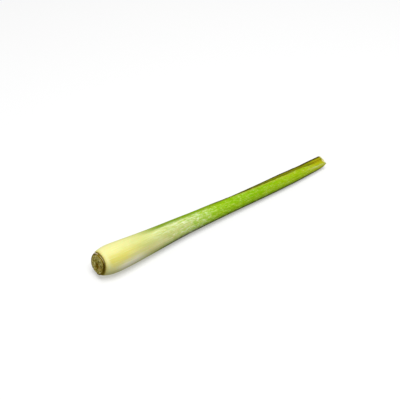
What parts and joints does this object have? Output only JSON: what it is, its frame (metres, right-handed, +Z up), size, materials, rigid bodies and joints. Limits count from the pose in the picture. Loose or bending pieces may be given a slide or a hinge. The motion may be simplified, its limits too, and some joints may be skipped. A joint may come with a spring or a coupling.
{
  "type": "lemongrass stalk",
  "caption": "Trimmed fresh lemongrass stalk lying on its side: pale swollen foot with a cut brown base, rolled green leaf sheaths and a squarely cut upper end.",
  "frame": {"origin": "on the table under the middle of the stalk: the bottom centre of its bounding box", "axes": "+X along the stalk from the cut foot to the trimmed upper end, +Z up, away from the table it lies on"},
  "size_m": [0.2488, 0.0237, 0.0242],
  "materials": {
    "stem_base": "matte",
    "old_sheath_scar": "matte",
    "outer_sheath": "satin",
    "second_sheath": "satin",
    "third_sheath": "satin",
    "inner_sheath": "satin",
    "heart_leaf": "satin"
  },
  "bodies": {
    "root": {"stem_base": "stem_base", "old_sheath_scar": "old_sheath_scar", "outer_sheath": "outer_sheath", "second_sheath": "second_sheath", "third_sheath": "third_sheath", "inner_sheath": "inner_sheath", "heart_leaf": "heart_leaf"}
  },
  "joints": []
}
